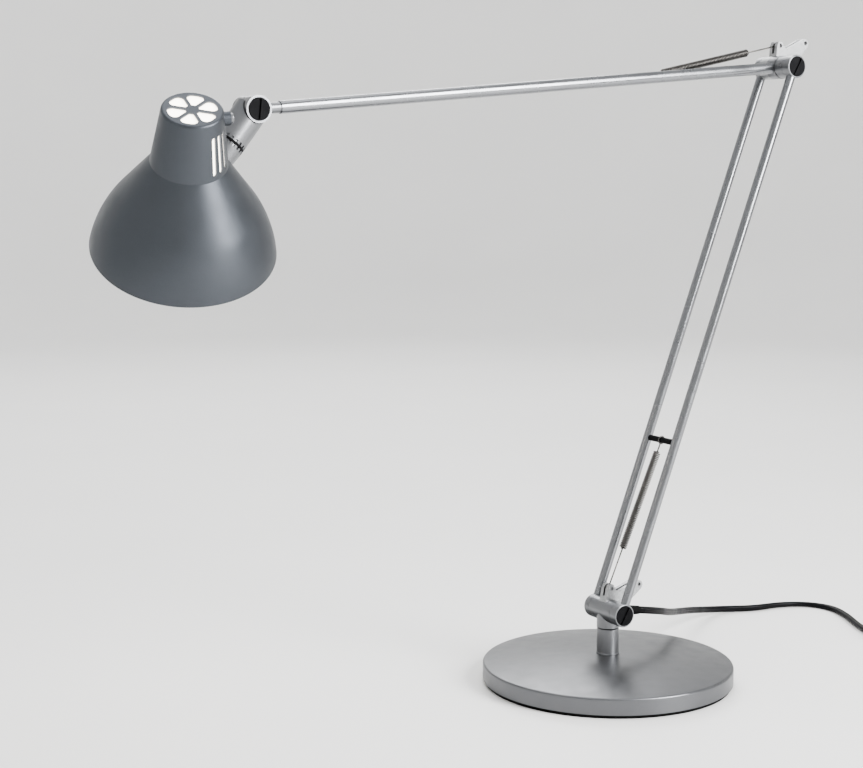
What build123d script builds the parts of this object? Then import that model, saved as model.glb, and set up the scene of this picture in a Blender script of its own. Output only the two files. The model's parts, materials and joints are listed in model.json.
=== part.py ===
from build123d import *
import os
from math import cos, pi, radians, sin, tan

os.makedirs("parts", exist_ok=True)

# Architect desk lamp, in millimetres. The origin is the centre of the base on the surface that it
# stands on. The arms fold in the XZ plane, and every knuckle axis is parallel to Y.

# ---- driving dimensions ----
BASE_R = 110.0
BASE_TOP = 25.5
BASE_RIM = 17.2
POST_R = 9.7
POST_TOP = 48.2
KNUCKLE_R = 10.2
KNUCKLE_Z = 63.8
BARREL_HALF = 15.3
RING_IN = 15.6
RING_OUT = 24.2
ROD_R = 4.0
ROD_Y = 20.0
LOWER_ARM = 508.0
LOWER_LEAN = 20.9
UPPER_ARM = 516.0
UPPER_DROP = 4.9
TUBE_R = 5.0
AXLE_R = 4.0
RUN_FIT = 0.05
GAP = 0.3
HUB_HALF = 5.2
BRACKET_IN = 5.5
BRACKET_OUT = 15.3
CROSSBAR_AT = 157.0
SIDE_PIN_AT = 150.0
SPRING_R = 3.4
WIRE_R = 0.8
EAR_UP = 20.0
NECK_LEAN = 38.0
NECK_Y = 9.3
NECK_R = 13.0
SHADE_R = 71.1
SHADE_LENGTH = 126.1
CAP_LENGTH = 46.3
SKIN = 1.2
CORD_WIDTH = 6.6
COIL_R = 37.5
PLUG_LENGTH = 34.0

# ---- where the knuckles stand ----
lean = radians(LOWER_LEAN)
drop = radians(UPPER_DROP)
neck_lean = radians(NECK_LEAN)
Y_DIR = Vector(0, 1, 0)
lower_dir = Vector(sin(lean), 0, cos(lean))
upper_dir = Vector(-cos(drop), 0, -sin(drop))
neck_dir = Vector(-sin(neck_lean), 0, -cos(neck_lean))
base_pivot = Vector(0, 0, KNUCKLE_Z)
elbow_pivot = base_pivot + lower_dir * LOWER_ARM
head_pivot = elbow_pivot + upper_dir * UPPER_ARM
neck_root = head_pivot + Y_DIR * NECK_Y

# ---- the shade's own axis: +Z runs from the cap's top down to the open rim ----
SHADE_TOP = Vector(-401.0, -37.6, 492.4)
shade_dir = Vector(0.165, 0.563, -0.810).normalized()
to_neck = Vector(0.835, 0.358, 0.418)
to_neck = (to_neck - shade_dir * to_neck.dot(shade_dir)).normalized()
shade_side = shade_dir.cross(to_neck)
shade_axis = Axis(SHADE_TOP, shade_dir)
# Profiles of turned shade pieces are drawn as (radius, distance from the cap's top).
shade_profile = Plane(origin=SHADE_TOP, x_dir=to_neck, z_dir=to_neck.cross(shade_dir))


def across(point, y):
    """A plane across a knuckle axis at the given y; extruding from it runs towards +Y."""
    return Plane(origin=(point.X, y, point.Z), x_dir=(1, 0, 0), z_dir=(0, 1, 0))


def along(point, direction, distance=0.0):
    """A plane square to a direction, some distance along it."""
    return Plane(origin=point + direction * distance, z_dir=direction)


def shade_level(distance):
    """A plane square to the shade's axis."""
    return Plane(origin=SHADE_TOP + shade_dir * distance, x_dir=to_neck, z_dir=shade_dir)


def disc(plane, radius, length, mode=Mode.ADD):
    """A round bar, or a round hole when it is subtracted."""
    with BuildSketch(plane) as section:
        Circle(radius)
    extrude(section.sketch, amount=length, mode=mode)


def tube(plane, radius, bore, length, mode=Mode.ADD):
    """A round bar with a round hole along it."""
    with BuildSketch(plane) as section:
        Circle(radius)
        Circle(bore, mode=Mode.SUBTRACT)
    extrude(section.sketch, amount=length, mode=mode)


def turned(points, mode=Mode.ADD):
    """A solid turned about the shade's axis from (radius, distance) corners."""
    with BuildSketch(shade_profile) as section:
        with BuildLine():
            Polyline(points, close=True)
        make_face()
    revolve(section.sketch, axis=shade_axis, mode=mode)


def save(piece, name):
    piece.part.label = name
    export_step(piece.part, f"parts/{name}.step")


# ================= base =================
PAD_TOP = 3.0
COVER_WALL = 1.6
PAD_R = 108.0
COVER_CORNER = 1.9
BOLT_R = 4.0
PIN_R = 5.0
SET_SCREW_Z = 51.6
PIN_FOOT = 36.0
PIN_TOP = 58.6
DOME_R = BASE_R ** 2 / (2 * (BASE_TOP - BASE_RIM))
SET_SCREW_R = 1.4

with BuildPart() as foot_pad:
    disc(Plane.XY, PAD_R, PAD_TOP)
save(foot_pad, "foot_pad")


def domed_disc(radius, top, rounding, mode=Mode.ADD):
    """A disc on the foot pad whose top follows the base's dome."""
    rim = top - radius ** 2 / (2 * DOME_R)
    with BuildSketch(Plane.XZ) as section:
        with BuildLine():
            dome = ThreePointArc((0, top), (radius / 2, top - (top - rim) / 4), (radius, rim))
            Polyline(dome @ 1, (radius, PAD_TOP), (0, PAD_TOP), (0, top))
        make_face()
        fillet(section.vertices().group_by(Axis.X)[-1].sort_by(Axis.Y)[-1], rounding)
    revolve(section.sketch, axis=Axis.Z, mode=mode)


with BuildPart() as base_weight:
    domed_disc(BASE_R - COVER_WALL - 1, BASE_TOP - COVER_WALL - 0.1, 1.5)
    disc(Plane.XY.offset(PAD_TOP), BOLT_R + 0.3, BASE_TOP, Mode.SUBTRACT)
    disc(Plane.XY.offset(PAD_TOP), 8.0, 5.5, Mode.SUBTRACT)
save(base_weight, "base_weight")

with BuildPart() as base_cover:
    domed_disc(BASE_R, BASE_TOP, COVER_CORNER)
    domed_disc(BASE_R - COVER_WALL, BASE_TOP - COVER_WALL, COVER_CORNER / 2, Mode.SUBTRACT)
    disc(Plane.XY, BOLT_R + 0.3, BASE_TOP + 1, Mode.SUBTRACT)
save(base_cover, "base_cover")

with BuildPart() as post:
    disc(Plane.XY.offset(BASE_TOP), POST_R + 0.5, 1.2)
    chamfer(post.edges().group_by(Axis.Z)[-1], 0.5)
    disc(Plane.XY.offset(BASE_TOP + 1.2), POST_R, POST_TOP - BASE_TOP - 1.2)
    chamfer(post.edges().group_by(Axis.Z)[-1], 0.4)
    disc(Plane.XY.offset(BASE_TOP), BOLT_R + 0.02, 9.0, Mode.SUBTRACT)
    disc(Plane.XY.offset(PIN_FOOT - 0.2), PIN_R + 0.02, POST_TOP, Mode.SUBTRACT)
save(post, "post")

with BuildPart() as post_bolt:
    with BuildSketch(Plane.XY.offset(PAD_TOP + 0.3)):
        RegularPolygon(7.2, 6)
    extrude(amount=5.0)
    disc(Plane.XY.offset(PAD_TOP + 5.3), BOLT_R, BASE_TOP + 8.5 - PAD_TOP - 5.3)
save(post_bolt, "post_bolt")

with BuildPart() as swivel_washer:
    tube(Plane.XY.offset(POST_TOP), POST_R - 0.7, PIN_R + 0.1, 0.7)
save(swivel_washer, "swivel_washer")

with BuildPart() as swivel_pin:
    disc(Plane.XY.offset(PIN_FOOT), PIN_R, PIN_TOP - PIN_FOOT)
    tube(Plane.XY.offset(SET_SCREW_Z - 1.7), PIN_R + 1, PIN_R - 0.9, 3.4, Mode.SUBTRACT)
save(swivel_pin, "swivel_pin")

# ================= swivel body on the post =================
GLAND_LENGTH = 24.0
gland_root = Vector(7.0, 0, 62.4)
gland_dir = Vector(1, 0.05, -0.12).normalized()
cord_exit = gland_root + gland_dir * (GLAND_LENGTH + 3.2)

with BuildPart() as base_knuckle:
    disc(Plane.XY.offset(POST_TOP + 0.9), POST_R + 0.2, KNUCKLE_Z - POST_TOP - 0.9)
    disc(across(base_pivot, -BARREL_HALF), KNUCKLE_R, 2 * BARREL_HALF)
    disc(Plane.XY.offset(POST_TOP), PIN_R + RUN_FIT, PIN_TOP + 0.4 - POST_TOP, Mode.SUBTRACT)
    disc(across(base_pivot, -BARREL_HALF), AXLE_R + RUN_FIT, 2 * BARREL_HALF, Mode.SUBTRACT)
    disc(along(gland_root, gland_dir), 3.6, 10.0, Mode.SUBTRACT)
    disc(along(Vector(0, 0, SET_SCREW_Z), Y_DIR), SET_SCREW_R + 0.02, 12.0, Mode.SUBTRACT)
save(base_knuckle, "base_knuckle")

with BuildPart() as swivel_screw:
    disc(along(Vector(0, 4.4, SET_SCREW_Z), Y_DIR), SET_SCREW_R, 4.9)
    with BuildSketch(along(Vector(0, 9.3, SET_SCREW_Z), Y_DIR)):
        RegularPolygon(0.8, 6)
    extrude(amount=-1.2, mode=Mode.SUBTRACT)
save(swivel_screw, "swivel_screw")

with BuildPart() as cord_gland:
    disc(along(gland_root, gland_dir), 3.5, 4.0)
    with BuildSketch(along(gland_root, gland_dir, 4.0)):
        Circle(5.0)
    with BuildSketch(along(gland_root, gland_dir, 6.0)):
        Circle(4.9)
    with BuildSketch(along(gland_root, gland_dir, GLAND_LENGTH + 3.2)):
        Circle(3.7)
    loft()
    disc(along(gland_root, gland_dir), AXLE_R, 1.0, Mode.SUBTRACT)
    disc(across(base_pivot, -BARREL_HALF), KNUCKLE_R, 2 * BARREL_HALF, Mode.SUBTRACT)
save(cord_gland, "cord_gland")


PIN_IN_EAR = 1.8
EAR_B_X = 29.8
EAR_B_UP = EAR_UP + 0.4
BRACKET_HALF = 4.9
SLOT_HALF = 1.3


def ear(pivot, tilt, along_x, up):
    """The middle of an ear's hole, at the bracket's own y."""
    return pivot + Vector(along_x * cos(tilt) - up * sin(tilt), 0, along_x * sin(tilt) + up * cos(tilt))


def bracket(pivot, tilt):
    """Two eared plates joined below their slot, with a hole for a pin through each ear."""
    with BuildSketch(Plane(origin=pivot, x_dir=(cos(tilt), 0, sin(tilt)), z_dir=(0, -1, 0))) as outline:
        with BuildLine():
            Polyline((-7, 4), (-5.2, 12), (-3.9, EAR_UP), (-1.9, EAR_UP + 3.5), (1.9, EAR_UP + 3.5),
                     (4.4, EAR_UP - 1.4), (7.2, EAR_UP - 3.4), (28.5, EAR_UP + 4.2), (32.4, EAR_UP + 3.2),
                     (33.8, EAR_UP), (32.2, EAR_UP - 3.4), (22.5, 9), (8, 3), close=True)
        make_face()
    extrude(outline.sketch, amount=BRACKET_HALF, both=True)
    with BuildSketch(Plane(origin=pivot, x_dir=(cos(tilt), 0, sin(tilt)), z_dir=(0, -1, 0))) as slot:
        with Locations((14, EAR_UP)):
            Rectangle(60, 13)
    extrude(slot.sketch, amount=SLOT_HALF, both=True, mode=Mode.SUBTRACT)
    for hole in (ear(pivot, tilt, 0, EAR_UP), ear(pivot, tilt, EAR_B_X, EAR_B_UP)):
        disc(across(hole, pivot.Y - 2 * BRACKET_HALF), PIN_IN_EAR, 4 * BRACKET_HALF, Mode.SUBTRACT)


def ear_pin(hole):
    """A pin across a bracket's slot, its ends sunk below the plates' faces."""
    disc(across(hole, hole.Y - BRACKET_HALF + 2), PIN_IN_EAR - 0.02, 2 * BRACKET_HALF - 4)


lower_ear = ear(base_pivot, 0, 0, EAR_UP)

with BuildPart() as lower_spring_bracket:
    bracket(base_pivot, 0)
    disc(across(base_pivot, -BARREL_HALF), KNUCKLE_R, 2 * BARREL_HALF, Mode.SUBTRACT)
save(lower_spring_bracket, "lower_spring_bracket")

with BuildPart() as lower_ear_pin:
    ear_pin(lower_ear)
save(lower_ear_pin, "lower_ear_pin")

# ================= mains cord, coil and plug =================
cord_route = [
    cord_exit, Vector(64, 10, 52.5), Vector(96, 36, 41), Vector(134, 72, 28.5), Vector(176, 103, 17.5),
    Vector(212, 124, 8.5), Vector(243, 131, 3.3), Vector(272, 119, 3.3), Vector(303, 119, 3.3),
    Vector(331, 108, 3.3), Vector(343, 82, 3.3), Vector(334, 52, 3.3), Vector(319, 22, 3.3),
    Vector(306, -8, 3.3), Vector(301.5, -39.6, 3.3),
]
COIL_TURNS = 5.44
COIL_HALF_WIDTH = 1.5 * CORD_WIDTH
COIL_HEIGHT = 2 * CORD_WIDTH
coil_centre = Vector(345.2, -45.8, 0)


def arc_radii(route):
    """Arcs as large as the two runs beside each corner allow."""
    radii = []
    for before, corner, after in zip(route, route[1:], route[2:]):
        turn = radians((corner - before).get_angle(after - corner))
        shorter = min((corner - before).length, (after - corner).length)
        radii.append(0.45 * shorter / tan(turn / 2))
    return radii


cord_radii = arc_radii(cord_route)
with BuildPart() as mains_cord:
    with BuildLine() as cord_line:
        FilletPolyline(*cord_route, radius=cord_radii)
    with BuildSketch(along(cord_exit, (cord_route[1] - cord_exit).normalized())):
        Circle(CORD_WIDTH / 2)
    sweep()
save(mains_cord, "mains_cord")
cord_length = sum(edge.length for edge in cord_line.edges())
print("cord arcs, mm:", [round(r) for r in cord_radii])
print("cord tube, mm:", round(cord_length), "volume ratio:",
      round(mains_cord.part.volume / (cord_length * pi * (CORD_WIDTH / 2) ** 2), 4))
print("cord with coil, mm:", round(cord_length + COIL_TURNS * 2 * pi * COIL_R))

with BuildPart() as cord_coil:
    with BuildSketch(Plane.XZ.offset(-coil_centre.Y)):
        with Locations((coil_centre.X + COIL_R, COIL_HEIGHT / 2)):
            RectangleRounded(2 * COIL_HALF_WIDTH, COIL_HEIGHT, 3.2)
    revolve(axis=Axis(coil_centre, (0, 0, 1)))
save(cord_coil, "cord_coil")

PLUG_ANGLE = radians(-30)
PLUG_Z = 7.2
plug_dir = Vector(-sin(PLUG_ANGLE), cos(PLUG_ANGLE), 0)
plug_side = Vector(cos(PLUG_ANGLE), sin(PLUG_ANGLE), 0)
plug_root = coil_centre + plug_side * (COIL_R + CORD_WIDTH) + plug_dir * 19 + Vector(0, 0, PLUG_Z)
PIN_SPREAD = 9.3


def plug_section(distance, width, height):
    """One flat oval section of the plug's body."""
    plane = Plane(origin=plug_root + plug_dir * distance, x_dir=plug_side, z_dir=plug_dir)
    with BuildSketch(plane) as section:
        RectangleRounded(width, height, height / 2 - 0.4)
    return section.sketch


with BuildPart() as plug:
    loft([plug_section(0, 7.6, 7.0), plug_section(16, 10.5, 9.0)])
    loft([plug_section(16, 12, 10), plug_section(24, 22, 13.4)])
    loft([plug_section(24, 22, 13.4), plug_section(10 + PLUG_LENGTH, 26, 13.6)])
save(plug, "plug")

with BuildPart() as plug_pins:
    for side in (-1, 1):
        disc(along(plug_root + plug_side * (side * PIN_SPREAD), plug_dir, 10 + PLUG_LENGTH), 2.0, 19.0)
    fillet(plug_pins.edges().filter_by(GeomType.CIRCLE).sort_by(Axis(plug_root, plug_dir))[-2:], 1.2)
save(plug_pins, "plug_pins")

# ================= lower arm =================
CAP_R = 8.8
SLOT_WIDTH = 2.2
AXLE_HALF = 20.5
ROD_END = 5.0
ROD_SHOULDER = 9.0
ROD_TENON_R = 2.4


def arm_ring(pivot, side, rod_direction):
    """A ring at one end of a knuckle: a blind axle bore from inside and a rod socket."""
    low = RING_IN if side > 0 else -RING_OUT
    disc(across(pivot, low), KNUCKLE_R, RING_OUT - RING_IN)
    inner = across(pivot, side * RING_IN) if side > 0 else across(pivot, -AXLE_HALF)
    disc(inner, AXLE_R + 0.02, AXLE_HALF - RING_IN, Mode.SUBTRACT)
    socket = Vector(pivot.X, side * ROD_Y, pivot.Z)
    disc(along(socket, rod_direction, ROD_END), ROD_TENON_R + 0.02, KNUCKLE_R, Mode.SUBTRACT)
    disc(along(socket, rod_direction, ROD_SHOULDER), ROD_R + 0.02, KNUCKLE_R, Mode.SUBTRACT)


def finish_rings(rings, pivot):
    """A recess for a cap in the near ring, and a domed end on the far ring."""
    for side, rounding in ((-1, 0.9), (1, 3.6)):
        rim = rings.edges().filter_by(GeomType.CIRCLE).filter_by_position(
            Axis.Y, side * RING_OUT - 0.01, side * RING_OUT + 0.01
        )
        fillet(rim, rounding)
    disc(across(pivot, -RING_OUT), CAP_R + 0.05, 1.6, Mode.SUBTRACT)


def slotted_cap(pivot, side, slot_tilt, face=RING_OUT, radius=CAP_R):
    """A round cap with a screwdriver slot, facing outwards."""
    slot_dir = (cos(radians(slot_tilt)), 0, sin(radians(slot_tilt)))
    plane = Plane(origin=(pivot.X, side * (face - 1.5), pivot.Z), x_dir=slot_dir, z_dir=(0, side, 0))
    disc(plane, radius, 1.8)
    with BuildSketch(plane.offset(1.8)) as slot:
        Rectangle(2 * radius - 2.0, SLOT_WIDTH)
    extrude(slot.sketch, amount=-1.3, mode=Mode.SUBTRACT)


with BuildPart() as lower_rings:
    arm_ring(base_pivot, -1, lower_dir)
    arm_ring(base_pivot, 1, lower_dir)
    finish_rings(lower_rings, base_pivot)
save(lower_rings, "lower_rings")

with BuildPart() as lower_ring_cap:
    slotted_cap(base_pivot, -1, 60)
save(lower_ring_cap, "lower_ring_cap")

with BuildPart() as lower_axle:
    disc(across(base_pivot, -AXLE_HALF), AXLE_R, 2 * AXLE_HALF)
save(lower_axle, "lower_axle")

crossbar_middle = base_pivot + lower_dir * CROSSBAR_AT
for rod_name, side in (("near_rod", -1), ("far_rod", 1)):
    with BuildPart() as rod:
        start = Vector(0, side * ROD_Y, KNUCKLE_Z)
        disc(along(start, lower_dir, ROD_SHOULDER), ROD_R, LOWER_ARM - 2 * ROD_SHOULDER)
        disc(along(start, lower_dir, ROD_END + 0.2), ROD_TENON_R, LOWER_ARM - 2 * ROD_END - 0.4)
        disc(across(crossbar_middle, -ROD_Y - 2.1), 1.52, 2 * ROD_Y + 4.2, Mode.SUBTRACT)
    save(rod, rod_name)

with BuildPart() as crossbar_pin:
    disc(across(crossbar_middle, -ROD_Y - 2), 1.5, 2 * ROD_Y + 4)
save(crossbar_pin, "crossbar_pin")

with BuildPart() as crossbar:
    tube(across(crossbar_middle, -ROD_Y + ROD_R + 0.1), 2.6, 1.55, 2 * (ROD_Y - ROD_R - 0.1))
save(crossbar, "crossbar")

with BuildPart() as elbow_rings:
    arm_ring(elbow_pivot, -1, -lower_dir)
    arm_ring(elbow_pivot, 1, -lower_dir)
    finish_rings(elbow_rings, elbow_pivot)
save(elbow_rings, "elbow_rings")

with BuildPart() as elbow_ring_cap:
    slotted_cap(elbow_pivot, -1, 60)
save(elbow_ring_cap, "elbow_ring_cap")

with BuildPart() as elbow_axle:
    disc(across(elbow_pivot, -AXLE_HALF), AXLE_R, 2 * AXLE_HALF)
save(elbow_axle, "elbow_axle")

elbow_bracket_root = Vector(elbow_pivot.X, (BRACKET_IN + BRACKET_OUT) / 2, elbow_pivot.Z)
BRACKET_TILT = radians(5)
EAR_SHIFT = 8.2
elbow_bracket_foot = elbow_bracket_root + Vector(EAR_SHIFT, 0, 0)
elbow_ear = ear(elbow_bracket_foot, BRACKET_TILT, 0, EAR_UP)

with BuildPart() as elbow_bracket:
    bracket(elbow_bracket_foot, BRACKET_TILT)
    disc(across(elbow_pivot, BRACKET_IN), KNUCKLE_R, BRACKET_OUT - BRACKET_IN)
    disc(across(elbow_pivot, BRACKET_IN), AXLE_R + 0.02, BRACKET_OUT - BRACKET_IN, Mode.SUBTRACT)
save(elbow_bracket, "elbow_bracket")

with BuildPart() as elbow_ear_pin:
    ear_pin(elbow_ear)
save(elbow_ear_pin, "elbow_ear_pin")

with BuildPart() as friction_disc:
    tube(across(elbow_pivot, -10.3), KNUCKLE_R - 0.4, AXLE_R + 0.1, 4.8)
save(friction_disc, "friction_disc")

with BuildPart() as elbow_spacer:
    tube(across(elbow_pivot, -15.4), KNUCKLE_R, AXLE_R + 0.1, 4.9)
save(elbow_spacer, "elbow_spacer")

# ================= upper arm =================
TUBE_WALL = 1.0
TUBE_START = 8.0
TUBE_END = UPPER_ARM - 19.0
FERRULE_R = 4.25
HEAD_RING_R = 10.5
HEAD_RING_HALF = 4.4
HEAD_AXLE_R = 3.5
HEAD_BARREL_IN = 4.8
HEAD_BARREL_OUT = 23.0

with BuildPart() as elbow_hub:
    disc(across(elbow_pivot, -HUB_HALF), KNUCKLE_R, 2 * HUB_HALF)
    disc(along(elbow_pivot, upper_dir), TUBE_R - TUBE_WALL - 0.02, 30.0)
    disc(across(elbow_pivot, -HUB_HALF), AXLE_R + RUN_FIT, 2 * HUB_HALF, Mode.SUBTRACT)
save(elbow_hub, "elbow_hub")

with BuildPart() as upper_tube:
    tube(along(elbow_pivot, upper_dir, TUBE_START), TUBE_R, TUBE_R - TUBE_WALL, TUBE_END - TUBE_START)
    disc(across(elbow_pivot, -HUB_HALF - 1), KNUCKLE_R, 2 * HUB_HALF + 2, Mode.SUBTRACT)
    side_hole = elbow_pivot + upper_dir * SIDE_PIN_AT
    disc(across(side_hole, 0), PIN_IN_EAR, 10, Mode.SUBTRACT)
save(upper_tube, "upper_tube")

with BuildPart() as side_pin:
    disc(across(side_hole, 2.0), PIN_IN_EAR - 0.02, 12.0)
    disc(across(side_hole, 13.0), 2.3, 1.0)
save(side_pin, "side_pin")

with BuildPart() as head_ring:
    disc(across(head_pivot, -HEAD_RING_HALF), HEAD_RING_R, 2 * HEAD_RING_HALF)
    disc(along(elbow_pivot, upper_dir, TUBE_END), FERRULE_R, UPPER_ARM - TUBE_END - 6)
    disc(along(elbow_pivot, upper_dir, TUBE_END - 16), TUBE_R - TUBE_WALL - 0.02, 17.0)
    disc(across(head_pivot, -HEAD_RING_HALF), HEAD_AXLE_R + 0.02, 2 * HEAD_RING_HALF, Mode.SUBTRACT)
    disc(across(head_pivot, -HEAD_RING_HALF), CAP_R + 0.05, 1.3, Mode.SUBTRACT)
save(head_ring, "head_ring")

with BuildPart() as head_cap:
    slotted_cap(head_pivot, -1, 84, HEAD_RING_HALF + 0.2)
save(head_cap, "head_cap")

with BuildPart() as head_axle:
    disc(across(head_pivot, -2.9), HEAD_AXLE_R, HEAD_BARREL_OUT + 5.0)
save(head_axle, "head_axle")

with BuildPart() as head_end_cap:
    slotted_cap(head_pivot, 1, 40, HEAD_BARREL_OUT + 2.4, 7.6)
    disc(across(head_pivot, HEAD_BARREL_OUT + 0.3), HEAD_AXLE_R + 0.02, 3.0, Mode.SUBTRACT)
save(head_end_cap, "head_end_cap")

# ================= neck =================
NECK_END = 31.0
SEAM_END = 33.0
COLLAR_END = 47.0
STEM_R = 5.0
TEETH = 20
TOOTH_GAP = 2.0
TOOTH_DEEP = 2.2
CAVITY_R = 8.5


def cut_teeth(level, depth):
    """Notches round the neck, cut from a level along its axis."""
    with BuildSketch(along(neck_root, neck_dir, level)) as teeth:
        with PolarLocations(NECK_R, TEETH):
            Rectangle(2.6, TOOTH_GAP)
    extrude(teeth.sketch, amount=depth, mode=Mode.SUBTRACT)


with BuildPart() as head_knuckle:
    disc(along(neck_root, neck_dir), NECK_R, NECK_END)
    with BuildSketch(across(head_pivot, -30)) as ring_room:
        Circle(HEAD_RING_R + 0.5)
    extrude(ring_room.sketch, amount=30 + HEAD_BARREL_IN, mode=Mode.SUBTRACT)
    disc(across(head_pivot, HEAD_BARREL_IN), HEAD_RING_R, HEAD_BARREL_OUT - HEAD_BARREL_IN)
    fillet(head_knuckle.edges().filter_by(GeomType.CIRCLE).group_by(Axis.Y)[-1], 1.0)
    disc(across(head_pivot, HEAD_BARREL_IN), HEAD_AXLE_R + RUN_FIT, 22.0, Mode.SUBTRACT)
    disc(along(neck_root, neck_dir, 17.0), CAVITY_R, 8.0, Mode.SUBTRACT)
    disc(along(neck_root, neck_dir, 24.0), STEM_R + RUN_FIT, 8.0, Mode.SUBTRACT)
    cut_teeth(NECK_END, -TOOTH_DEEP)
save(head_knuckle, "head_knuckle")

with BuildPart() as seam_ring:
    tube(along(neck_root, neck_dir, NECK_END), NECK_R - 0.3, STEM_R + 0.3, SEAM_END - NECK_END - GAP)
save(seam_ring, "seam_ring")

# ================= shade and what is in it =================
SHOULDER_R = 26.9
SHOULDER_AT = 44.0
CONE_R = 54.0
CONE_AT = 83.5
CAP_TOP_R = 22.5
CAP_END_R = 28.9
CAP_GAP = 0.5
LINER = 0.8


def bell(shrink, top, bottom):
    """A solid bell with the shade's outline, made smaller by shrink, between two levels."""
    with BuildSketch(shade_profile) as section:
        with BuildLine():
            cone = Line((SHOULDER_R - shrink, SHOULDER_AT), (CONE_R - shrink, CONE_AT))
            skirt = TangentArc(cone @ 1, (SHADE_R - shrink, SHADE_LENGTH), tangent=cone % 1)
            Polyline(skirt @ 1, (0, SHADE_LENGTH), (0, SHOULDER_AT), cone @ 0)
        make_face()
        with Locations((0, (top + bottom) / 2)):
            Rectangle(2 * SHADE_R + 9, bottom - top, mode=Mode.INTERSECT)
    return section.sketch


HOLDER_R = 16.0
HOLDER_TOP = 11.0
FLANGE_HOLE_R = HOLDER_R + 0.2
LINER_TOP_R = 22.0

with BuildPart() as shade_shell:
    revolve(bell(0, SHOULDER_AT, SHADE_LENGTH), axis=shade_axis)
    revolve(bell(SKIN + 0.2, SHOULDER_AT + 1.4, SHADE_LENGTH), axis=shade_axis, mode=Mode.SUBTRACT)
    disc(shade_level(SHOULDER_AT - 1), FLANGE_HOLE_R, 5, Mode.SUBTRACT)
    disc(along(neck_root, neck_dir, NECK_END + 6), STEM_R + 0.05, 22.0, Mode.SUBTRACT)
save(shade_shell, "shade_shell")

with BuildPart() as shade_liner:
    revolve(bell(SKIN + 0.25, SHOULDER_AT + 1.45, SHADE_LENGTH - 0.6), axis=shade_axis)
    revolve(bell(SKIN + 0.25 + LINER, SHOULDER_AT + 2.3, SHADE_LENGTH), axis=shade_axis, mode=Mode.SUBTRACT)
    disc(shade_level(SHOULDER_AT), LINER_TOP_R, 6, Mode.SUBTRACT)
    disc(along(neck_root, neck_dir, NECK_END + 6), 8.3, 22.0, Mode.SUBTRACT)
save(shade_liner, "shade_liner")

with BuildPart() as shade_collar:
    with BuildSketch(along(neck_root, neck_dir, SEAM_END)):
        Circle(NECK_R)
    with BuildSketch(along(neck_root, neck_dir, COLLAR_END)):
        Circle(NECK_R - 1.2)
    loft()
    revolve(bell(0, SHOULDER_AT, SHADE_LENGTH), axis=shade_axis, mode=Mode.SUBTRACT)
    disc(along(neck_root, neck_dir, SEAM_END), STEM_R + 0.02, 20, Mode.SUBTRACT)
    cut_teeth(SEAM_END, TOOTH_DEEP)
save(shade_collar, "shade_collar")

with BuildPart() as shade_stem:
    disc(along(neck_root, neck_dir, 17.6), CAVITY_R - 0.4, 7.0)
    disc(along(neck_root, neck_dir, 24.2), STEM_R, 28.0)
save(shade_stem, "shade_stem")

with BuildPart() as stem_nut:
    with BuildSketch(along(neck_root, neck_dir, 49.0)):
        RegularPolygon(8.0, 6)
    extrude(amount=3.0)
    disc(along(neck_root, neck_dir, 49.0), STEM_R + 0.02, 3.0, Mode.SUBTRACT)
save(stem_nut, "stem_nut")

PETALS = 6
PETAL_IN = 5.0
PETAL_OUT = 18.5
SPOKE = 2.4
SLOTS = 3
SLOT_PITCH = 13.5
SLOT_LENGTH = 31.0
SLOT_WIDE = 3.2
SLOT_MIDDLE = 27.0
SLOT_ANGLE = 87.0
SWITCH_ANGLE = 37.0
SWITCH_AT = 10.5
SWITCH_R = 5.2
BUTTON_R = 3.8


def cap_radius(distance):
    return CAP_TOP_R + (CAP_END_R - CAP_TOP_R) * distance / CAP_LENGTH


def radial(angle, distance):
    """A plane on the shade's axis that faces outwards at an angle from the neck."""
    outward = to_neck * cos(radians(angle)) + shade_side * sin(radians(angle))
    return Plane(origin=SHADE_TOP + shade_dir * distance, x_dir=shade_dir, z_dir=outward)


with BuildPart() as socket_cap:
    turned([(0, 0), (CAP_TOP_R, 0), (CAP_END_R, CAP_LENGTH), (0, CAP_LENGTH)])
    fillet(socket_cap.edges().filter_by(GeomType.CIRCLE).sort_by(Axis(SHADE_TOP, shade_dir))[0], 2.2)
    inside = [(0, SKIN), (CAP_TOP_R - SKIN, SKIN), (CAP_END_R - SKIN, CAP_LENGTH), (0, CAP_LENGTH)]
    turned(inside, Mode.SUBTRACT)
    with BuildSketch(shade_level(-1)) as vents:
        Circle(PETAL_OUT)
        Circle(PETAL_IN, mode=Mode.SUBTRACT)
        with PolarLocations(0, PETALS):
            with Locations((PETAL_OUT / 2, 0)):
                Rectangle(PETAL_OUT + 2, SPOKE, mode=Mode.SUBTRACT)
        fillet(vents.vertices().sort_by_distance((0, 0, 0))[-2 * PETALS:], 4.0)
        fillet(vents.vertices().sort_by_distance((0, 0, 0))[:2 * PETALS], 1.0)
    extrude(vents.sketch, amount=3, mode=Mode.SUBTRACT)
    for group in (SLOT_ANGLE, SLOT_ANGLE + 180):
        for index in range(SLOTS):
            angle = group + (index - (SLOTS - 1) / 2) * SLOT_PITCH
            with BuildSketch(radial(angle, SLOT_MIDDLE)) as slot:
                SlotOverall(SLOT_LENGTH, SLOT_WIDE)
            extrude(slot.sketch, amount=40, mode=Mode.SUBTRACT)
    disc(radial(SWITCH_ANGLE, SWITCH_AT), SWITCH_R - 1.2, 40, Mode.SUBTRACT)
    revolve(bell(-CAP_GAP, SHOULDER_AT, SHADE_LENGTH), axis=shade_axis, mode=Mode.SUBTRACT)
save(socket_cap, "socket_cap")

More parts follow.
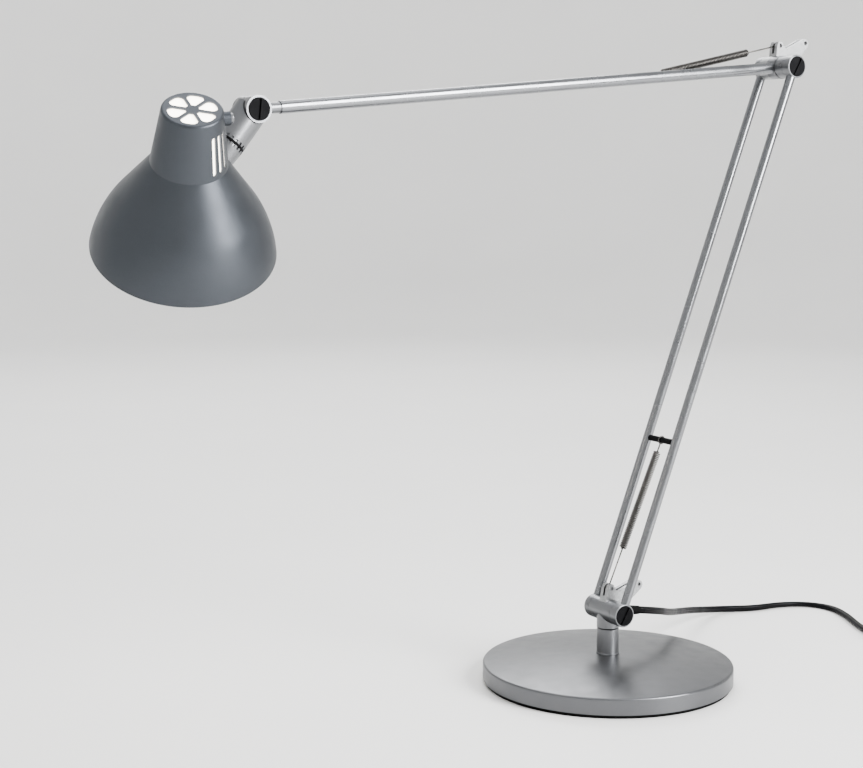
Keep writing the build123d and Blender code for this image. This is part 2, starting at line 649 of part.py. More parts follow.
DIFFUSER_GAP = SKIN + 0.5
DIFFUSER_END = SHOULDER_AT - 0.4
with BuildPart() as cap_diffuser:
    turned([(0, DIFFUSER_GAP), (CAP_TOP_R - DIFFUSER_GAP, DIFFUSER_GAP),
            (cap_radius(DIFFUSER_END) - DIFFUSER_GAP, DIFFUSER_END), (0, DIFFUSER_END)])
    inner = DIFFUSER_GAP + LINER
    turned([(0, inner), (CAP_TOP_R - inner, inner),
            (cap_radius(DIFFUSER_END) - inner, DIFFUSER_END), (0, DIFFUSER_END)], Mode.SUBTRACT)
    disc(radial(SWITCH_ANGLE, SWITCH_AT), SWITCH_R + 0.8, 40, Mode.SUBTRACT)
save(cap_diffuser, "cap_diffuser")

switch_face = cap_radius(SWITCH_AT) + 4.4
SWITCH_INNER = 18.6
with BuildPart() as switch_body:
    wall = cap_radius(SWITCH_AT)
    plane = radial(SWITCH_ANGLE, SWITCH_AT)
    disc(plane.offset(wall - 1.5), SWITCH_R, switch_face - wall + 1.5)
    turned([(0, 0), (CAP_TOP_R + 0.02, 0), (CAP_END_R + 0.02, CAP_LENGTH), (0, CAP_LENGTH)], Mode.SUBTRACT)
    disc(plane.offset(SWITCH_INNER), SWITCH_R - 1.3, wall + 1 - SWITCH_INNER)
    disc(plane.offset(SWITCH_INNER + 1.4), BUTTON_R - 1.2, 10, Mode.SUBTRACT)
    disc(plane.offset(wall - 0.2), BUTTON_R + RUN_FIT, 10, Mode.SUBTRACT)
save(switch_body, "switch_body")

BUTTON_PROUD = 2.6
with BuildPart() as switch_button:
    disc(plane.offset(switch_face - 1.4), BUTTON_R, BUTTON_PROUD + 1.4)
    fillet(switch_button.edges().sort_by(Axis(plane.origin, plane.z_dir))[-1], 0.9)
save(switch_button, "switch_button")

with BuildPart() as lampholder:
    tube(shade_level(HOLDER_TOP), HOLDER_R - 1.8, 13.6, SHOULDER_AT - HOLDER_TOP)
    disc(shade_level(HOLDER_TOP), HOLDER_R - 1.8, 3.0)
    tube(shade_level(SHOULDER_AT - 5), HOLDER_R + 2.4, 13.6, 4.9)
    tube(shade_level(SHOULDER_AT - 0.1), HOLDER_R, 13.6, 8.6)
save(lampholder, "lampholder")

with BuildPart() as holder_ring:
    tube(shade_level(SHOULDER_AT + 1.5), HOLDER_R + 4.2, HOLDER_R + 0.03, 5)
    with BuildSketch(shade_level(SHOULDER_AT + 1.5)) as grips:
        with PolarLocations(HOLDER_R + 4.2, 18):
            Circle(0.7)
    extrude(grips.sketch, amount=5, mode=Mode.SUBTRACT)
save(holder_ring, "holder_ring")

with BuildPart() as holder_contact:
    disc(shade_level(HOLDER_TOP + 3), 4.0, 2.2)
save(holder_contact, "holder_contact")

SCREW_R = 13.1
BULB_R = 24.0
BULB_CENTRE = 82.0
with BuildPart() as bulb_screw:
    disc(shade_level(HOLDER_TOP + 8), SCREW_R, 31)
    disc(shade_level(HOLDER_TOP + 5.3), 4.5, 2.9)
save(bulb_screw, "bulb_screw")

with BuildPart() as bulb_glass:
    with BuildSketch(shade_profile):
        with BuildLine():
            ball = CenterArc((0, BULB_CENTRE), BULB_R, -46, 136)
            Polyline(ball @ 0, (SCREW_R - 0.3, HOLDER_TOP + 39.05), (0, HOLDER_TOP + 39.05), ball @ 1)
        make_face()
    revolve(axis=shade_axis)
save(bulb_glass, "bulb_glass")

# ================= springs =================
LOWER_LEG = 36.0
LOWER_COIL = 92.0
UPPER_LEG = 35.0
UPPER_COIL = 98.0


def spring(anchor, far, anchor_pin, far_pin, first, length):
    """A close-wound spring: a coil between two straight wires, each ending in an eye round its pin."""
    pull = (far - anchor).normalized()
    span = (far - anchor).length
    disc(along(anchor, pull, first), SPRING_R, length)
    for pin, radius, start, end in ((anchor, anchor_pin, 0, first), (far, far_pin, first + length, span)):
        eye = radius + WIRE_R + 0.1
        with BuildSketch(Plane(origin=pin + Vector(eye, 0, 0), x_dir=(1, 0, 0), z_dir=(0, 0, 1))) as wire:
            Circle(WIRE_R)
        revolve(wire.sketch, axis=Axis(pin, Y_DIR))
        low = start + eye if start == 0 else start
        high = end - eye if start else end
        disc(along(anchor, pull, low), WIRE_R, high - low)


with BuildPart() as lower_spring:
    spring(lower_ear, crossbar_middle, PIN_IN_EAR, 2.6, LOWER_LEG, LOWER_COIL)
save(lower_spring, "lower_spring")

with BuildPart() as upper_spring:
    pin_point = Vector(side_hole.X, elbow_bracket_root.Y, side_hole.Z)
    spring(elbow_ear, pin_point, PIN_IN_EAR, PIN_IN_EAR, UPPER_LEG, UPPER_COIL)
save(upper_spring, "upper_spring")
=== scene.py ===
import json
import math

import bpy
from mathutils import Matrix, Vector


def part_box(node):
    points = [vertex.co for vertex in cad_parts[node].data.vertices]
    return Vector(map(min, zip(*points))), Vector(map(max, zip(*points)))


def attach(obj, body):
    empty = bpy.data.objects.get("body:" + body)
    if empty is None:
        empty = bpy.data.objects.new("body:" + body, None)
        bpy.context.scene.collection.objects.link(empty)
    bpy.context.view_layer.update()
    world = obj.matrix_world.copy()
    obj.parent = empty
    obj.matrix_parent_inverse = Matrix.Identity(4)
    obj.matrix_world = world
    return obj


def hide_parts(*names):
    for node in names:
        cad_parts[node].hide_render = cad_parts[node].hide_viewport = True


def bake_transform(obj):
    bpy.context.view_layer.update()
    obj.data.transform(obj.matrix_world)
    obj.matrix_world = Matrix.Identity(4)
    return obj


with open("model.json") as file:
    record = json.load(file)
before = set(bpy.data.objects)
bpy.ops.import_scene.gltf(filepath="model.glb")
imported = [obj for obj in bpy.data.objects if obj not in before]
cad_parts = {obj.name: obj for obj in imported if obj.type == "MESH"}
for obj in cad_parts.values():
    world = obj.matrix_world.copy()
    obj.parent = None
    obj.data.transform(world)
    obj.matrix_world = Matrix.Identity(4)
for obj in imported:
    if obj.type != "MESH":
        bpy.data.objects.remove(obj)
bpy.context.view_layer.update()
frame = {"nodes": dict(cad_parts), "record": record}
nodes = frame["nodes"]

MM = 0.001
UP = Vector((0, 0, 1))
ACROSS = Vector((0, 1, 0))


def link(obj):
    bpy.context.scene.collection.objects.link(obj)
    return obj


# ---------------------------------------------------------------- camera
# The place is in metres, the turn in degrees, and the lens and its sensor in millimetres.
CAMERA_AT = Vector((-0.9031, -1.2268, 0.4570))
CAMERA_TURN = (82.743, 0.0, -30.51)
CAMERA_LENS = 73.69
SENSOR_WIDTH = 36.0
CAMERA_REACH = 60.0


def make_camera():
    data = bpy.data.cameras.new("camera")
    data.lens = CAMERA_LENS
    data.sensor_width = SENSOR_WIDTH
    data.clip_end = CAMERA_REACH
    camera = link(bpy.data.objects.new("camera", data))
    camera.location = CAMERA_AT
    camera.rotation_euler = [math.radians(angle) for angle in CAMERA_TURN]
    bpy.context.scene.camera = camera


make_camera()


# ---------------------------------------------------------------- mesh helpers
def mesh_object(name, points, faces, smooth=True):
    mesh = bpy.data.meshes.new(name)
    mesh.from_pydata([tuple(point) for point in points], [], faces)
    mesh.validate()
    mesh.update()
    if smooth:
        mesh.shade_smooth()
    return link(bpy.data.objects.new(name, mesh))


def tube_through(name, rings, smooth=True):
    """A closed tube through rings of points, which all have the same number of points."""
    count = len(rings[0])
    last = (len(rings) - 1) * count
    faces = []
    for low in range(0, last, count):
        high = low + count
        for corner in range(count):
            after = (corner + 1) % count
            faces.append((low + corner, low + after, high + after, high + corner))
    faces.append(tuple(reversed(range(count))))
    faces.append(tuple(range(last, last + count)))
    return mesh_object(name, [point for ring in rings for point in ring], faces, smooth)


def direction_at(path, index):
    ahead = path[min(index + 1, len(path) - 1)]
    behind = path[max(index - 1, 0)]
    return (ahead - behind).normalized()


def ease(value):
    """Smooth step from 0 to 1."""
    value = min(max(value, 0.0), 1.0)
    return value * value * (3 - 2 * value)


# ---------------------------------------------------------------- mains cord: its route
CORD_WIDTH = 6.6 * MM
CORD_THICK = 4.6 * MM
COIL_CENTRE = Vector((0.3452, -0.0458, 0))
COIL_LANES = (44.1, 37.5, 30.9, 30.9, 37.5, 44.1)     # radius of each turn, in millimetres
COIL_LOW = 3.4 * MM
COIL_HIGH = 9.9 * MM
COIL_ENTRY = 171.9                                    # in degrees round the centre
COIL_EXIT = 330.0 + 5 * 360
LANE_CHANGE = 0.45                                    # the part of a turn that a change of lane takes
CLIMB_START = 2.5                                     # in turns from the entry
POINTS_PER_TURN = 16
PLUG_GAP = 19 * MM
PLUG_HEIGHT = 7.2 * MM
LEAD_IN_LENGTH = 6 * MM
LEAD_IN_RISE = 0.5 * MM
SPLINE_STEPS = 8

cord_route = [
    Vector((0.03398, 0.00135, 0.05916)), Vector((0.064, 0.010, 0.0525)), Vector((0.096, 0.036, 0.041)),
    Vector((0.134, 0.072, 0.0285)), Vector((0.176, 0.103, 0.0175)), Vector((0.212, 0.124, 0.0085)),
    Vector((0.243, 0.131, 0.0036)), Vector((0.272, 0.119, 0.0033)), Vector((0.303, 0.119, 0.0030)),
    Vector((0.331, 0.108, 0.0028)), Vector((0.343, 0.082, 0.0028)), Vector((0.334, 0.052, 0.0028)),
    Vector((0.319, 0.022, 0.0028)), Vector((0.306, -0.008, 0.0030)), Vector((0.3015, -0.0396, COIL_LOW)),
]


def coil_points():
    """The coil's turns: inwards on the surface, then outwards on top of those."""
    # A spline of order 3 runs inside its control points, at this share of their radius midway between knots.
    spline_share = (3 + math.cos(2 * math.pi / POINTS_PER_TURN)) / 4
    points = []
    steps = round((COIL_EXIT - COIL_ENTRY) / 360 * POINTS_PER_TURN)
    for step in range(1, steps + 1):
        turned = step / steps * (COIL_EXIT - COIL_ENTRY)
        lane = turned / 360
        whole = min(int(lane), len(COIL_LANES) - 2)
        blend = ease((lane - whole - (1 - LANE_CHANGE)) / LANE_CHANGE)
        radius = COIL_LANES[whole] * (1 - blend) + COIL_LANES[whole + 1] * blend
        radius = radius * MM / spline_share
        lift = COIL_LOW + (COIL_HIGH - COIL_LOW) * ease((lane - CLIMB_START) / LANE_CHANGE)
        angle = math.radians(COIL_ENTRY + turned)
        points.append(COIL_CENTRE + Vector((radius * math.cos(angle), radius * math.sin(angle), lift)))
    return points


def cord_points():
    """Control points of the whole cord, from the gland to the plug."""
    exit_angle = math.radians(COIL_EXIT)
    heading = Vector((-math.sin(exit_angle), math.cos(exit_angle), 0))
    outward = Vector((math.cos(exit_angle), math.sin(exit_angle), 0))
    root = COIL_CENTRE + outward * COIL_LANES[-1] * MM + heading * PLUG_GAP + UP * PLUG_HEIGHT
    lead_in = root - heading * LEAD_IN_LENGTH + UP * LEAD_IN_RISE
    return cord_route + coil_points() + [lead_in, root]


def cord_line():
    """Points along the smooth line that the cord's control points make."""
    points = cord_points()
    curve = bpy.data.curves.new("cord_line", "CURVE")
    curve.dimensions = "3D"
    curve.resolution_u = SPLINE_STEPS
    spline = curve.splines.new("NURBS")
    spline.points.add(len(points) - 1)
    for point, place in zip(spline.points, points):
        point.co = (*place, 1.0)
    spline.order_u = 3
    spline.use_endpoint_u = True
    obj = link(bpy.data.objects.new("cord_line", curve))
    mesh = bpy.data.meshes.new_from_object(obj)
    path = [vertex.co.copy() for vertex in mesh.vertices]
    bpy.data.objects.remove(obj)
    bpy.data.meshes.remove(mesh)
    return path


# ---------------------------------------------------------------- mains cord: its body
# The flat lead leaves the gland on edge, lies down on the surface and stands on edge again in the coil.
# These places are in metres along it.
EDGE_END = 0.24
FLAT_START = 0.40
FLAT_END = 0.45
COIL_EDGE = 0.53
EDGE_ANGLE = 80.0             # in degrees from level
RIPPLE_ANGLE = 0.25           # in radians
RIPPLE_RATE = 31.0            # in radians of the wave for each metre
CORE_STEPS = 8
GROOVE_REACH = 0.4            # where the groove starts, as a share of a core's place
GROOVE_EDGE = 0.97            # the surface there and in the groove, as shares of half the thickness
GROOVE_FLOOR = 0.84


def flat_cord_section():
    """Two cores side by side, with a shallow groove between them on both faces."""
    thick = CORD_THICK / 2
    core = CORD_WIDTH / 2 - thick
    section = []
    for side in (1, -1):
        for step in range(CORE_STEPS + 1):
            angle = math.pi * step / CORE_STEPS - side * math.pi / 2
            section.append((side * core + thick * math.cos(angle), thick * math.sin(angle)))
        section.append((side * core * GROOVE_REACH, side * thick * GROOVE_EDGE))
        section.append((0, side * thick * GROOVE_FLOOR))
        section.append((-side * core * GROOVE_REACH, side * thick * GROOVE_EDGE))
    return section


def cord_twist(length):
    """How far the lead's wide side is turned up from level, in radians."""
    down = 1 - ease((length - EDGE_END) / (FLAT_START - EDGE_END))
    up = ease((length - FLAT_END) / (COIL_EDGE - FLAT_END))
    ripple = RIPPLE_ANGLE * math.sin(length * RIPPLE_RATE) * (1 - up) * (1 - down)
    return math.radians(EDGE_ANGLE) * max(down, up) + ripple


def flat_ring(point, tangent, twist):
    """The lead's section at a point: its wide side is level at twist 0 and upright at a quarter turn."""
    level = tangent.cross(UP).normalized()
    upright = level.cross(tangent).normalized()
    wide = level * math.cos(twist) + upright * math.sin(twist)
    thick = tangent.cross(wide).normalized()
    return [point + wide * across + thick * up for across, up in flat_cord_section()]


def make_cord():
    path = cord_line()
    lengths = [0.0]
    for before, after in zip(path, path[1:]):
        lengths.append(lengths[-1] + (after - before).length)
    rings = [
        flat_ring(point, direction_at(path, index), cord_twist(lengths[index]))
        for index, point in enumerate(path)
    ]
    flat = tube_through("mains_lead", rings)
    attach(flat, "swivel")
    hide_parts("mains_cord", "cord_coil")
    return flat


# ---------------------------------------------------------------- strap round the coil
# A hook-and-loop strap, its end lapped over itself.
TIE_ANGLE = 250.0             # in degrees round the coil
TIE_MIDDLE = 37.5 * MM
TIE_HALF_WIDE = 10.1 * MM
TIE_LOW = 0.3 * MM
TIE_HIGH = 13.4 * MM
TIE_CORNER = 3.2 * MM
TIE_CORNER_STEPS = 6
TIE_BREADTH = 9 * MM
TIE_THICK = 0.5 * MM
TIE_LAPPED = 2                # how many points of its outline lie on top of its start


def tie_outline():
    """Points (across, up) round the bundle, starting at the middle of its top."""
    right = TIE_HALF_WIDE - TIE_CORNER
    low = TIE_LOW + TIE_CORNER
    high = TIE_HIGH - TIE_CORNER
    outline = [(0.0, TIE_HIGH)]
    for across, up, start in ((right, high, 90), (right, low, 0), (-right, low, -90), (-right, high, 180)):
        for step in range(TIE_CORNER_STEPS + 1):
            angle = math.radians(start - 90 * step / TIE_CORNER_STEPS)
            outline.append((across + TIE_CORNER * math.cos(angle), up + TIE_CORNER * math.sin(angle)))
    return outline + [(0.0, TIE_HIGH), (right, TIE_HIGH)]


def make_tie():
    turn = math.radians(TIE_ANGLE)
    outward = Vector((math.cos(turn), math.sin(turn), 0))
    along = Vector((-math.sin(turn), math.cos(turn), 0)) * TIE_BREADTH / 2
    outline = tie_outline()
    middle_up = (TIE_LOW + TIE_HIGH) / 2
    rings = []
    for index, (across, up) in enumerate(outline):
        lap = TIE_THICK if index >= len(outline) - TIE_LAPPED else 0.0
        push = Vector((across, up - middle_up)).normalized()
        inside, outside = [
            COIL_CENTRE + outward * (TIE_MIDDLE + across + push.x * thick) + UP * (up + push.y * thick)
            for thick in (lap, lap + TIE_THICK)
        ]
        rings.append([inside - along, inside + along, outside + along, outside - along])
    tie = tube_through("coil_tie", rings, False)
    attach(tie, "swivel")
    return tie


coil_tie = make_tie()
mains_lead = make_cord()


# ---------------------------------------------------------------- material helpers
NOISE_LOW = 0.3               # most of a noise lies between these two
NOISE_HIGH = 0.7


class Paint:
    """A node material built round one Principled shader, with object coordinates in metres."""

    def __init__(self, name, rough, metallic, color):
        self.material = bpy.data.materials.new(name)
        self.material.use_nodes = True
        self.tree = self.material.node_tree
        self.shader = self.tree.nodes["Principled BSDF"]
        self.shader.inputs["Roughness"].default_value = rough
        self.shader.inputs["Metallic"].default_value = metallic
        self.shader.inputs["Base Color"].default_value = (*color, 1)
        self.material.diffuse_color = (*color, 1)
        self.color = color
        self.rough = rough
        self.coords = self.node("ShaderNodeTexCoord").outputs["Object"]
        self.normal = None

    def node(self, kind):
        return self.tree.nodes.new(kind)

    def link(self, output, socket):
        self.tree.links.new(output, socket)

    def mapped(self, socket, values):
        """The coordinates after one setting of a mapping node: Scale, or Rotation in radians."""
        mapping = self.node("ShaderNodeMapping")
        mapping.inputs[socket].default_value = values
        self.link(self.coords, mapping.inputs["Vector"])
        return mapping.outputs["Vector"]

    def noise(self, scale, detail, stretch=None):
        """Noise with a given number of cells per metre."""
        texture = self.node("ShaderNodeTexNoise")
        texture.inputs["Scale"].default_value = scale
        texture.inputs["Detail"].default_value = detail
        source = self.mapped("Scale", stretch) if stretch else self.coords
        self.link(source, texture.inputs["Vector"])
        return texture.outputs["Fac"]

    def vary_rough(self, value, spread):
        remap = self.node("ShaderNodeMapRange")
        remap.inputs["From Min"].default_value = NOISE_LOW
        remap.inputs["From Max"].default_value = NOISE_HIGH
        remap.inputs["To Min"].default_value = self.rough - spread
        remap.inputs["To Max"].default_value = self.rough + spread
        self.link(value, remap.inputs["Value"])
        self.link(remap.outputs["Result"], self.shader.inputs["Roughness"])

    def vary_color(self, value, dark, light):
        """The base colour moves between two multiples of itself."""
        ramp = self.node("ShaderNodeValToRGB")
        ends = ramp.color_ramp.elements
        for end, position, share in ((ends[0], NOISE_LOW, dark), (ends[1], NOISE_HIGH, light)):
            end.position = position
            end.color = (*[min(channel * share, 1.0) for channel in self.color], 1)
        self.link(value, ramp.inputs["Fac"])
        self.link(ramp.outputs["Color"], self.shader.inputs["Base Color"])

    def bump(self, value, height, strength):
        """Relief of a given height in metres, on top of any earlier relief."""
        relief = self.node("ShaderNodeBump")
        relief.inputs["Strength"].default_value = strength
        relief.inputs["Distance"].default_value = height
        self.link(value, relief.inputs["Height"])
        if self.normal:
            self.link(self.normal, relief.inputs["Normal"])
        self.normal = relief.outputs["Normal"]
        self.link(self.normal, self.shader.inputs["Normal"])


def satin_paint(name, color, rough, metallic, flake, coat):
    """Metallic lacquer: fine bright flakes, a faint orange peel and uneven gloss where hands have been."""
    paint = Paint(name, rough, metallic, color)
    flakes = paint.noise(scale=5200, detail=1.0)
    hands = paint.noise(scale=60, detail=4.0)
    peel = paint.noise(scale=900, detail=2.0)
    paint.vary_color(flakes, 1 - flake, 1 + flake)
    paint.vary_rough(hands, spread=0.05)
    paint.bump(peel, height=0.04 * MM, strength=0.35)
    paint.bump(flakes, height=0.012 * MM, strength=0.3)
    paint.shader.inputs["Coat Weight"].default_value = coat
    paint.shader.inputs["Coat Roughness"].default_value = 0.35
    return paint.material


def drawn_metal(name, color, rough, turn=(0, 0, 0), marks=0.09):
    """Bare or thinly plated metal with fine marks along its length; turn brings that length to Z."""
    paint = Paint(name, rough, 1.0, color)
    paint.coords = paint.mapped("Rotation", [math.radians(angle) for angle in turn])
    lines = paint.noise(scale=2600, detail=2.0, stretch=(1.0, 1.0, 0.03))
    wear = paint.noise(scale=45, detail=4.0)
    paint.vary_color(lines, 1 - marks, 1 + marks)
    paint.vary_rough(wear, spread=0.06)
    paint.bump(lines, height=0.006 * MM, strength=0.25)
    return paint.material


def moulded_plastic(name, color, rough, shine, grain=1400, height=0.03 * MM):
    """Moulded plastic with a fine spark-eroded grain."""
    paint = Paint(name, rough, 0.0, color)
    paint.vary_color(paint.noise(scale=90, detail=3.0), dark=0.8, light=1.25)
    paint.vary_rough(paint.noise(scale=70, detail=3.0), spread=0.07)
    paint.bump(paint.noise(scale=grain, detail=2.0), height, strength=0.6)
    paint.shader.inputs["Specular IOR Level"].default_value = shine
    return paint.material


def cast_metal(name, color, rough, metallic, grain, height):
    """Tumbled or rough casting with a pebbled skin."""
    paint = Paint(name, rough, metallic, color)
    lumps = paint.noise(scale=grain, detail=4.0)
    paint.vary_color(lumps, dark=0.78, light=1.15)
    paint.vary_rough(paint.noise(scale=grain / 4, detail=3.0), spread=0.08)
    paint.bump(lumps, height, strength=0.7)
    return paint.material


def glowing(name, color, strength, rough):
    """White enamel, opal plastic or glass with a warm emission: on the bulb's glass it is the lamp's own
    light, on enamel and plastic it is painted light for the bulb's light falling on them.
    """
    paint = Paint(name, rough, 0.0, color)
    paint.vary_color(paint.noise(scale=40, detail=2.0), dark=0.97, light=1.02)
    paint.bump(paint.noise(scale=500, detail=2.0), height=0.03 * MM, strength=0.3)
    # Emission: the lamp's own light on the bulb's glass, a painted glow on enamel and plastic.
    paint.shader.inputs["Emission Color"].default_value = (*WARM, 1)
    paint.shader.inputs["Emission Strength"].default_value = strength
    return paint.material


# ---------------------------------------------------------------- materials
WARM = (1.0, 0.93, 0.82)
SILVER = (0.2, 0.204, 0.212)
# The silver paint made darker for the whole base cover: painted shade, not a paint of its own.
BASE_SHADED_SILVER = (0.15, 0.153, 0.16)
SHADE_GREY = (0.082, 0.089, 0.1)
ROD_GREY = (0.23, 0.235, 0.245)
STEEL = (0.5, 0.5, 0.51)
SPRING_BROWN = (0.13, 0.125, 0.12)
ZINC = (0.36, 0.365, 0.37)
IRON = (0.06, 0.06, 0.06)
BRASS_PALE = (0.66, 0.63, 0.57)
BLACK = (0.006, 0.006, 0.007)
RUBBER_BLACK = (0.006, 0.006, 0.006)
CORD_BLACK = (0.004, 0.004, 0.005)
STRAP_BLACK = (0.012, 0.012, 0.013)
ENAMEL_WHITE = (0.86, 0.85, 0.82)
PLASTIC_WHITE = (0.85, 0.85, 0.83)
GLASS_WHITE = (0.95, 0.94, 0.9)
LOWER_ROD_TURN = (0, -20.9, 0)
UPPER_ROD_TURN = (0, 94.9, 0)
AXLE_TURN = (90, 0, 0)

materials = {
    "silver_paint": satin_paint("silver_paint", SILVER, rough=0.32, metallic=0.85, flake=0.08, coat=0.12),
    "shade_grey": satin_paint("shade_grey", SHADE_GREY, rough=0.4, metallic=0.9, flake=0.1, coat=0.05),
    "bright_rod": drawn_metal("bright_rod", ROD_GREY, rough=0.26, turn=LOWER_ROD_TURN, marks=0.03),
    "plain_steel": drawn_metal("plain_steel", STEEL, rough=0.3, turn=AXLE_TURN),
    "spring_steel": drawn_metal("spring_steel", SPRING_BROWN, rough=0.28),
    "zinc_casting": cast_metal("zinc_casting", ZINC, rough=0.4, metallic=0.9, grain=900, height=0.06 * MM),
    "cast_iron": cast_metal("cast_iron", IRON, rough=0.7, metallic=0.6, grain=350, height=0.2 * MM),
    "black_plastic": moulded_plastic("black_plastic", BLACK, rough=0.6, shine=0.1),
    "black_rubber": moulded_plastic(
        "black_rubber", RUBBER_BLACK, rough=0.75, shine=0.12, grain=700, height=0.06 * MM),
    "cord_black": moulded_plastic(
        "cord_black", CORD_BLACK, rough=0.42, shine=0.14, grain=900, height=0.02 * MM),
    "pin_metal": drawn_metal("pin_metal", BRASS_PALE, rough=0.22),
    # The enamel liner and the white plastic glow with painted light for the bulb's light on them; only the
    # bulb's glass below is the lamp itself.
    "white_enamel": glowing("white_enamel", ENAMEL_WHITE, strength=0.15, rough=0.3),
    "white_plastic": glowing("white_plastic", PLASTIC_WHITE, strength=0.5, rough=0.5),
    "lit_glass": glowing("lit_glass", GLASS_WHITE, strength=9.0, rough=0.2),
}
# The cap's opal diffuser glows with painted light, standing in for the bulb's light seen through the cap's
# vents and slots.
cap_painted_glow = glowing("cap_painted_glow", GLASS_WHITE, strength=4.0, rough=0.5)
tie_weave = moulded_plastic("tie_weave", STRAP_BLACK, rough=0.85, shine=0.2, grain=2600, height=0.12 * MM)
# A darker copy of the silver paint for the base cover, as painted shade.
base_shaded_silver = satin_paint("base_shaded_silver", BASE_SHADED_SILVER, rough=0.36, metallic=0.9, flake=0.12, coat=0.05)
upper_rod = drawn_metal("upper_rod", ROD_GREY, rough=0.26, turn=UPPER_ROD_TURN, marks=0.03)


def paint_nodes():
    """Every CAD node gets the material of its slot, and three get one of their own."""
    slots = {part["node"]: part["material_slot"] for part in frame["record"]["subparts"]}
    # The cap's diffuser gets a painted glow, and the base cover a darker, painted-shade copy of the silver
    # paint.
    own = {"cap_diffuser": cap_painted_glow, "base_cover": base_shaded_silver, "upper_tube": upper_rod}
    for name, obj in nodes.items():
        obj.data.materials.clear()
        obj.data.materials.append(own.get(name, materials[slots[name]]))


paint_nodes()
mains_lead.data.materials.append(materials["cord_black"])
coil_tie.data.materials.append(tie_weave)


# ---------------------------------------------------------------- springs
WIRE_R = 0.6 * MM
WIRE_SIDES = 8
SPRING_R = 3.4 * MM
SPRING_PITCH = 1.55 * MM
TURN_STEPS = 18
EYE_STEPS = 20
EAR_PIN_R = 1.85 * MM
CROSSBAR_R = 2.65 * MM
LOWER_LEG = 36 * MM
LOWER_COIL = 92 * MM
UPPER_LEG = 35 * MM
UPPER_COIL = 98 * MM


def middle(node):
    low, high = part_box(node)
    return (low + high) / 2


def wire_through(name, path, side):
    """A round wire along a path, its section carried along without twisting."""
    rings = []
    for index, point in enumerate(path):
        tangent = direction_at(path, index)
        side = (side - tangent * side.dot(tangent)).normalized()
        other = tangent.cross(side)
        ring = []
        for corner in range(WIRE_SIDES):
            angle = 2 * math.pi * corner / WIRE_SIDES
            ring.append(point + side * (WIRE_R * math.cos(angle)) + other * (WIRE_R * math.sin(angle)))
        rings.append(ring)
    return tube_through(name, rings)


def eye_points(centre, radius, toward):
    """A loop round a pin that lies along Y; it starts and ends on the side that the wire comes from."""
    start = math.atan2(toward.z, toward.x)
    points = []
    for step in range(EYE_STEPS + 1):
        angle = start + 2 * math.pi * step / EYE_STEPS
        points.append(centre + Vector((math.cos(angle), 0, math.sin(angle))) * radius)
    return points


def spring_path(anchor, far, pins, first, length):
    """One wire: eye, straight leg, close-wound coil, straight leg, eye."""
    pull = (far - anchor).normalized()
    side = ACROSS.cross(pull).normalized()
    path = list(reversed(eye_points(anchor, pins[0] + WIRE_R, pull)))
    turns = length / SPRING_PITCH
    steps = round(turns * TURN_STEPS)
    for step in range(steps + 1):
        turn = step / TURN_STEPS
        # The coil widens over its first turn and closes over its last.
        radius = (SPRING_R - WIRE_R) * ease(min(turn, turns - turn))
        angle = 2 * math.pi * turn
        along = first + length * step / steps
        path.append(anchor + pull * along + (side * math.cos(angle) + ACROSS * math.sin(angle)) * radius)
    path.extend(eye_points(far, pins[1] + WIRE_R, -pull))
    return path


def make_spring(name, node, anchor, far, pins, first, length):
    """A spring from one pin to another; pins are their radii, and first is the leg before the coil."""
    spring = wire_through(name, spring_path(anchor, far, pins, first, length), ACROSS)
    spring.data.materials.append(materials["spring_steel"])
    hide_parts(node)
    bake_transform(spring)


side_pin_low, side_pin_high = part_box("side_pin")
upper_ear = middle("elbow_ear_pin")
side_anchor = (side_pin_low + side_pin_high) / 2
side_anchor.y = upper_ear.y
make_spring("lower_balance_spring", "lower_spring", middle("lower_ear_pin"), middle("crossbar"),
            (EAR_PIN_R, CROSSBAR_R), LOWER_LEG, LOWER_COIL)
make_spring("upper_balance_spring", "upper_spring", upper_ear, side_anchor,
            (EAR_PIN_R, EAR_PIN_R), UPPER_LEG, UPPER_COIL)


# ---------------------------------------------------------------- floor
FLOOR_CENTRE = 0.02
FLOOR_INNER = 1.0
FLOOR_REACH = 3.0
SWEEP_RADIUS = 1.2
SWEEP_TOP = 3.0
SWEEP_STEPS = 16
FLOOR_SPOKES = 96
FLOOR_WHITE = (0.86, 0.855, 0.845)


def floor_profile():
    """Points (reach, height) from the middle of the floor to the top of the wall."""
    profile = [(FLOOR_CENTRE, 0.0), (FLOOR_INNER, 0.0), (FLOOR_REACH, 0.0)]
    for step in range(1, SWEEP_STEPS + 1):
        angle = math.pi / 2 * step / SWEEP_STEPS
        profile.append((FLOOR_REACH + SWEEP_RADIUS * math.sin(angle), SWEEP_RADIUS * (1 - math.cos(angle))))
    return profile + [(FLOOR_REACH + SWEEP_RADIUS, SWEEP_TOP)]


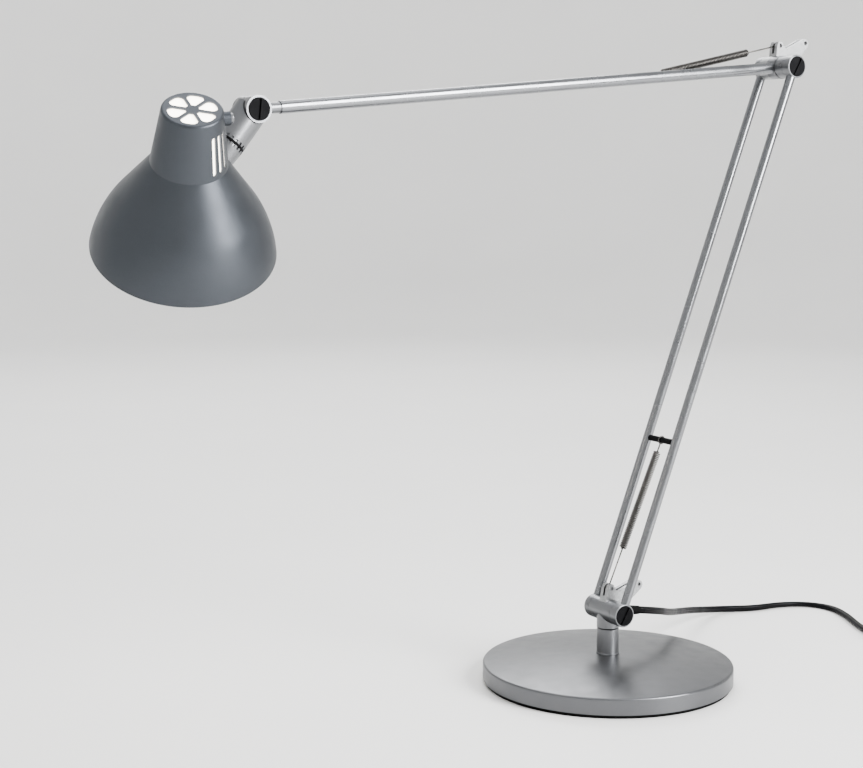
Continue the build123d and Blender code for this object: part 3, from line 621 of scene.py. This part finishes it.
def make_floor():
    """A round pale floor that curves up into a wall all round, so that it has no edge from any side."""
    profile = floor_profile()
    points = []
    for reach, height in profile:
        for spoke in range(FLOOR_SPOKES):
            angle = 2 * math.pi * spoke / FLOOR_SPOKES
            points.append((reach * math.cos(angle), reach * math.sin(angle), height))
    faces = [tuple(range(FLOOR_SPOKES))]
    for low in range(0, (len(profile) - 1) * FLOOR_SPOKES, FLOOR_SPOKES):
        high = low + FLOOR_SPOKES
        for spoke in range(FLOOR_SPOKES):
            after = (spoke + 1) % FLOOR_SPOKES
            faces.append((low + spoke, high + spoke, high + after, low + after))
    floor = mesh_object("floor", points, faces)
    paint = Paint("floor_paint", 0.55, 0.0, FLOOR_WHITE)
    paint.vary_color(paint.noise(scale=3, detail=3.0), dark=0.985, light=1.01)
    paint.bump(paint.noise(scale=160, detail=2.0), height=0.1 * MM, strength=0.2)
    floor.data.materials.append(paint.material)


# ---------------------------------------------------------------- light
LIGHT_AIM = Vector((-0.1, 0, 0.35))
SKY_COLOR = (0.9, 0.91, 0.92)
SKY_STRENGTH = 0.9


def area_light(name, place, size, power):
    """A rectangular lamp that faces the middle of the object; its power is in watts."""
    data = bpy.data.lights.new(name, "AREA")
    data.shape = "RECTANGLE"
    data.size, data.size_y = size
    data.energy = power
    light = link(bpy.data.objects.new(name, data))
    light.location = place
    light.rotation_euler = (LIGHT_AIM - Vector(place)).to_track_quat("-Z", "Y").to_euler()


def make_lights():
    area_light("key", (0.75, -1.7, 1.15), size=(0.9, 1.4), power=80)
    area_light("back", (0.9, 2.2, 1.9), size=(1.4, 1.0), power=26)
    area_light("top", (0.0, 0.4, 2.7), size=(2.0, 2.0), power=22)
    world = bpy.data.worlds.new("studio")
    world.use_nodes = True
    background = world.node_tree.nodes["Background"]
    background.inputs["Color"].default_value = (*SKY_COLOR, 1)
    background.inputs["Strength"].default_value = SKY_STRENGTH
    bpy.context.scene.world = world
    bpy.context.scene.view_settings.look = "AgX - Medium High Contrast"


make_floor()
make_lights()
